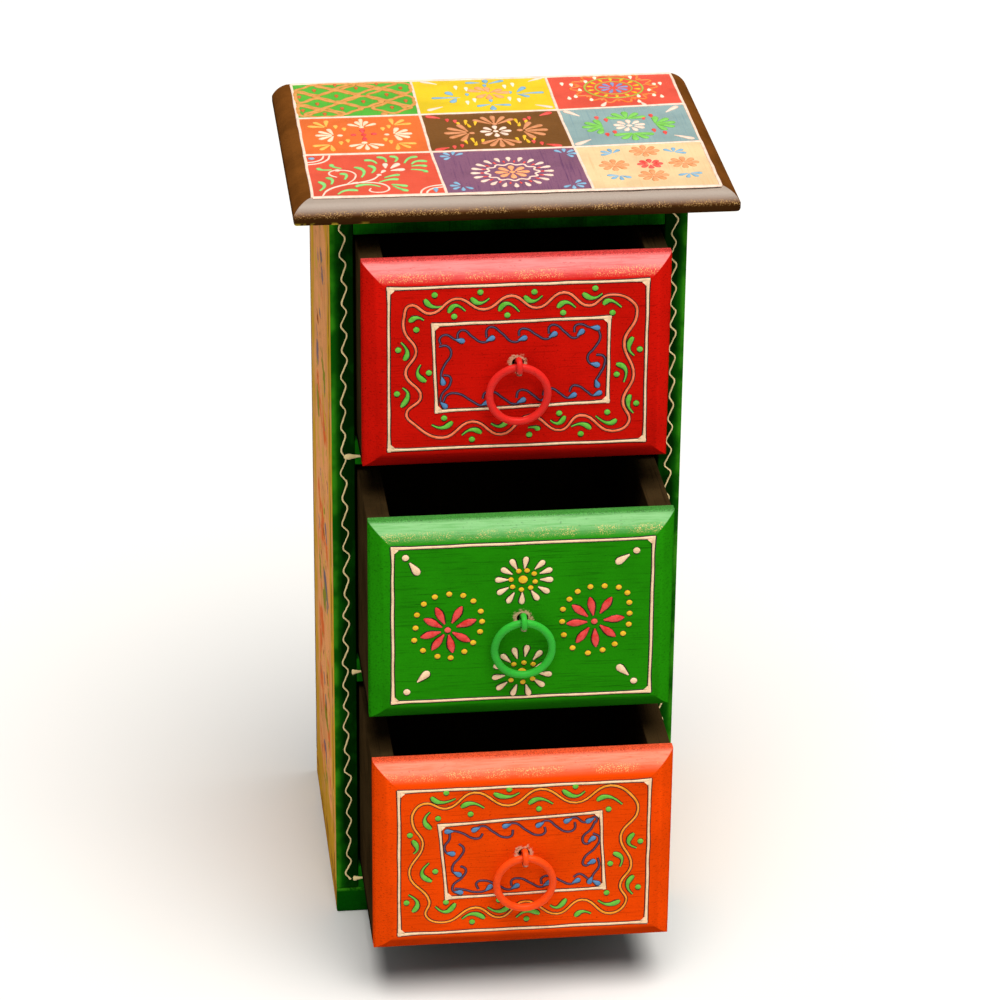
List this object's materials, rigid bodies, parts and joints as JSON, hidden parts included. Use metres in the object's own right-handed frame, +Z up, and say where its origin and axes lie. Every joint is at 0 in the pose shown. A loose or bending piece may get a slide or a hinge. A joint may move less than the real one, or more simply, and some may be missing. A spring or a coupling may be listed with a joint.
{
  "type": "jewellery box",
  "caption": "Upright painted wooden jewellery box with a moulded top and inset drawers, each with a raised front and a hanging ring pull on a split pin.",
  "frame": {"origin": "middle of the underside of the carcass, on the surface that the box stands on", "axes": "+Z up, -Y toward the drawer fronts, +X to the right seen from the front"},
  "size_m": [0.16, 0.1844, 0.3015],
  "materials": {
    "moulding_brown": "painted satin",
    "side_salmon": "painted satin, distressed",
    "frame_green": "painted satin",
    "back_ply": "bare plywood",
    "front_red": "painted satin",
    "front_green": "painted satin",
    "front_orange": "painted satin",
    "drawer_brown": "stained",
    "drawer_floor": "stained plywood",
    "pull_red": "painted, worn",
    "pull_green": "painted, worn",
    "pull_orange": "painted, worn",
    "brad_steel": "bright wire"
  },
  "bodies": {
    "carcass": {"base_board": "frame_green", "left_side": "side_salmon", "right_side": "side_salmon", "bottom_board": "frame_green", "lower_shelf": "frame_green", "upper_shelf": "frame_green", "upper_board": "frame_green", "back_panel": "back_ply", "top_board": "moulding_brown", "carcass_brads": "brad_steel", "back_brads": "brad_steel"},
    "top_drawer": {"top_drawer_front": "front_red", "top_drawer_left_side": "drawer_brown", "top_drawer_right_side": "drawer_brown", "top_drawer_back": "drawer_brown", "top_drawer_bottom": "drawer_floor", "top_drawer_brads": "brad_steel", "top_drawer_split_pin": "pull_red"},
    "top_ring": {"top_drawer_ring": "pull_red"},
    "middle_drawer": {"middle_drawer_front": "front_green", "middle_drawer_left_side": "drawer_brown", "middle_drawer_right_side": "drawer_brown", "middle_drawer_back": "drawer_brown", "middle_drawer_bottom": "drawer_floor", "middle_drawer_brads": "brad_steel", "middle_drawer_split_pin": "pull_green"},
    "middle_ring": {"middle_drawer_ring": "pull_green"},
    "bottom_drawer": {"bottom_drawer_front": "front_orange", "bottom_drawer_left_side": "drawer_brown", "bottom_drawer_right_side": "drawer_brown", "bottom_drawer_back": "drawer_brown", "bottom_drawer_bottom": "drawer_floor", "bottom_drawer_brads": "brad_steel", "bottom_drawer_split_pin": "pull_orange"},
    "bottom_ring": {"bottom_drawer_ring": "pull_orange"}
  },
  "joints": [
    {"name": "top_drawer_slide", "type": "slide", "parent": "carcass", "child": "top_drawer", "axis": [0, -1, 0], "range_m": [-0.0235, 0.064]},
    {"name": "top_ring_swing", "type": "hinge", "parent": "top_drawer", "child": "top_ring", "pos_m": [0, -0.08832, 0.24345], "axis": [-1, 0, 0], "range_deg": [-3.5, 160]},
    {"name": "middle_drawer_slide", "type": "slide", "parent": "carcass", "child": "middle_drawer", "axis": [0, -1, 0], "range_m": [-0.0465, 0.041]},
    {"name": "middle_ring_swing", "type": "hinge", "parent": "middle_drawer", "child": "middle_ring", "pos_m": [0, -0.11132, 0.15245], "axis": [-1, 0, 0], "range_deg": [-3.5, 160]},
    {"name": "bottom_drawer_slide", "type": "slide", "parent": "carcass", "child": "bottom_drawer", "axis": [0, -1, 0], "range_m": [-0.06, 0.0275]},
    {"name": "bottom_ring_swing", "type": "hinge", "parent": "bottom_drawer", "child": "bottom_ring", "pos_m": [0, -0.12482, 0.06145], "axis": [-1, 0, 0], "range_deg": [-3.5, 160]}
  ]
}
